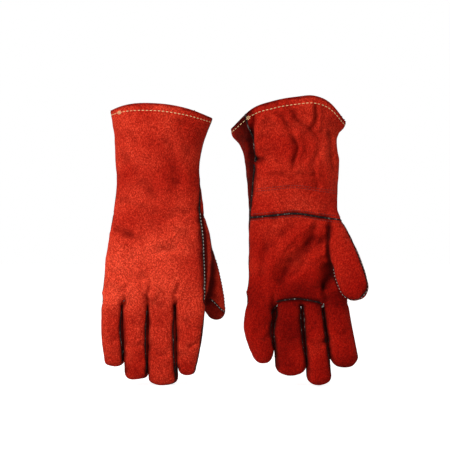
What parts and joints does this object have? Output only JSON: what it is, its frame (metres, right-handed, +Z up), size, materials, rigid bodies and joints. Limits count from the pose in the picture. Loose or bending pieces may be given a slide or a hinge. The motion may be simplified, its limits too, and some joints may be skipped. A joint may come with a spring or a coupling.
{
  "type": "welding gloves",
  "caption": "Pair of lined split-leather gauntlet gloves with sewn fingers, thumbs and long flared cuffs, hanging fingers down",
  "frame": {"origin": "under the middle of the pair's bounding box, level with the lowest fingertip", "axes": "+Z up from the fingertips to the cuffs, +X from the right-hand glove to the left-hand glove, -Y towards the viewer: the right glove shows its back and the left glove its palm"},
  "size_m": [0.3358, 0.0946, 0.362],
  "materials": {
    "split_leather": "napped suede",
    "welt_leather": "matt",
    "thread": "spun",
    "cuff_canvas": "plain weave",
    "fleece": "brushed"
  },
  "bodies": {
    "right_cuff": {"right_cuff_back": "split_leather", "right_cuff_front": "split_leather", "right_cuff_lining": "cuff_canvas", "right_cuff_welts": "welt_leather", "right_cuff_hem_stitches": "thread"},
    "right_hand": {"right_hand_back": "split_leather", "right_palm": "split_leather", "right_thumb_wing": "split_leather", "right_hand_lining": "fleece", "right_hand_welts": "welt_leather"},
    "right_thumb": {"right_thumb_back": "split_leather", "right_thumb_front": "split_leather", "right_thumb_welt": "welt_leather"},
    "right_index": {"right_index_back": "split_leather", "right_index_front": "split_leather", "right_index_fourchettes": "split_leather", "right_index_welts": "welt_leather"},
    "right_middle": {"right_middle_back": "split_leather", "right_middle_front": "split_leather", "right_middle_fourchettes": "split_leather", "right_middle_welts": "welt_leather"},
    "right_ring": {"right_ring_back": "split_leather", "right_ring_front": "split_leather", "right_ring_fourchettes": "split_leather", "right_ring_welts": "welt_leather"},
    "right_little": {"right_little_back": "split_leather", "right_little_front": "split_leather", "right_little_fourchettes": "split_leather", "right_little_welts": "welt_leather"},
    "left_cuff": {"left_cuff_back": "split_leather", "left_cuff_front": "split_leather", "left_cuff_lining": "cuff_canvas", "left_cuff_welts": "welt_leather", "left_cuff_hem_stitches": "thread"},
    "left_hand": {"left_hand_back": "split_leather", "left_palm": "split_leather", "left_thumb_wing": "split_leather", "left_hand_lining": "fleece", "left_hand_welts": "welt_leather"},
    "left_thumb": {"left_thumb_back": "split_leather", "left_thumb_front": "split_leather", "left_thumb_welt": "welt_leather"},
    "left_index": {"left_index_back": "split_leather", "left_index_front": "split_leather", "left_index_fourchettes": "split_leather", "left_index_welts": "welt_leather"},
    "left_middle": {"left_middle_back": "split_leather", "left_middle_front": "split_leather", "left_middle_fourchettes": "split_leather", "left_middle_welts": "welt_leather"},
    "left_ring": {"left_ring_back": "split_leather", "left_ring_front": "split_leather", "left_ring_fourchettes": "split_leather", "left_ring_welts": "welt_leather"},
    "left_little": {"left_little_back": "split_leather", "left_little_front": "split_leather", "left_little_fourchettes": "split_leather", "left_little_welts": "welt_leather"}
  },
  "joints": [
    {"name": "right_wrist_bend", "type": "hinge", "parent": "right_cuff", "child": "right_hand", "pos_m": [-0.09583, -0.0004, 0.21268], "axis": [1, 0, 0], "range_deg": [-30, 30], "stiffness_Nm_per_rad": 0.8},
    {"name": "right_thumb_spread", "type": "hinge", "parent": "right_hand", "child": "right_thumb", "pos_m": [-0.03982, 0.02162, 0.13726], "axis": [0.061, -0.9602, -0.2727], "range_deg": [0, 30], "stiffness_Nm_per_rad": 0.3},
    {"name": "right_index_bend", "type": "hinge", "parent": "right_hand", "child": "right_index", "pos_m": [-0.05783, 0.0046, 0.09168], "axis": [0.999, 0, -0.0448], "range_deg": [-10, 70], "stiffness_Nm_per_rad": 0.2},
    {"name": "right_middle_bend", "type": "hinge", "parent": "right_hand", "child": "right_middle", "pos_m": [-0.09203, 0.0046, 0.09168], "axis": [1, 0, 0], "range_deg": [-10, 70], "stiffness_Nm_per_rad": 0.2},
    {"name": "right_ring_bend", "type": "hinge", "parent": "right_hand", "child": "right_ring", "pos_m": [-0.12413, 0.0046, 0.09168], "axis": [0.9995, 0, -0.0321], "range_deg": [-10, 70], "stiffness_Nm_per_rad": 0.2},
    {"name": "right_little_bend", "type": "hinge", "parent": "right_hand", "child": "right_little", "pos_m": [-0.15393, 0.0046, 0.09168], "axis": [1, 0, 0], "range_deg": [-10, 70], "stiffness_Nm_per_rad": 0.2},
    {"name": "glove_apart_slide", "type": "slide", "parent": "right_cuff", "child": "left_cuff", "axis": [1, 0, 0], "range_m": [0, 0.1]},
    {"name": "left_wrist_bend", "type": "hinge", "parent": "left_cuff", "child": "left_hand", "pos_m": [0.07217, -0.0004, 0.21268], "axis": [-1, 0, 0], "range_deg": [-30, 30], "stiffness_Nm_per_rad": 0.8},
    {"name": "left_thumb_spread", "type": "hinge", "parent": "left_hand", "child": "left_thumb", "pos_m": [0.13675, -0.02242, 0.15527], "axis": [-0.1086, -0.95, 0.2927], "range_deg": [0, 30], "stiffness_Nm_per_rad": 0.3},
    {"name": "left_index_bend", "type": "hinge", "parent": "left_hand", "child": "left_index", "pos_m": [0.12337, -0.00539, 0.09168], "axis": [-0.9869, 0, -0.1616], "range_deg": [-10, 70], "stiffness_Nm_per_rad": 0.2},
    {"name": "left_middle_bend", "type": "hinge", "parent": "left_hand", "child": "left_middle", "pos_m": [0.09357, -0.00539, 0.09168], "axis": [-0.9951, 0, -0.0984], "range_deg": [-10, 70], "stiffness_Nm_per_rad": 0.2},
    {"name": "left_ring_bend", "type": "hinge", "parent": "left_hand", "child": "left_ring", "pos_m": [0.06517, -0.00539, 0.09168], "axis": [-0.9991, 0, -0.0417], "range_deg": [-10, 70], "stiffness_Nm_per_rad": 0.2},
    {"name": "left_little_bend", "type": "hinge", "parent": "left_hand", "child": "left_little", "pos_m": [0.03067, -0.00539, 0.09168], "axis": [-0.9999, 0, -0.0159], "range_deg": [-10, 70], "stiffness_Nm_per_rad": 0.2}
  ]
}
